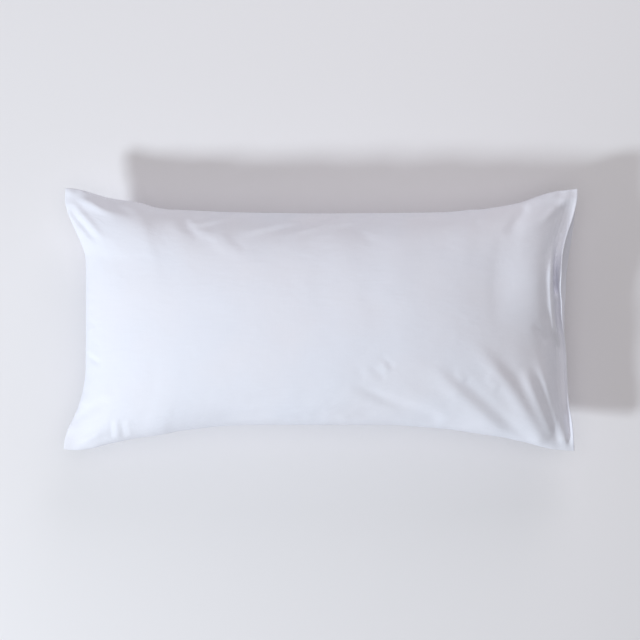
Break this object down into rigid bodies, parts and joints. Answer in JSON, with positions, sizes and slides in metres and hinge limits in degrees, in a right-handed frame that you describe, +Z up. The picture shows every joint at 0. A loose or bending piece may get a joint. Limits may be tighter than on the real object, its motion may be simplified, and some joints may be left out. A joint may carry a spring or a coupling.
{
  "type": "pillowcase",
  "caption": "White cotton pillowcase closed over its pillow, with drawn-in sides, pointed corners and an open mouth with a tuck-in flap at one end, lying flat.",
  "frame": {"origin": "under the middle of the pillowcase, at the height of the surface that it lies on", "axes": "+X along the long sides towards the open mouth, +Y across the case, +Z up from the surface"},
  "size_m": [0.7825, 0.4, 0.1732],
  "materials": {
    "cotton_panel": "smooth closely woven white cotton with a faint soft sheen",
    "cotton_flap": "the same white cotton, seen inside the mouth"
  },
  "bodies": {
    "root": {"filled_case": "cotton_panel", "tuck_flap": "cotton_flap"}
  },
  "joints": []
}
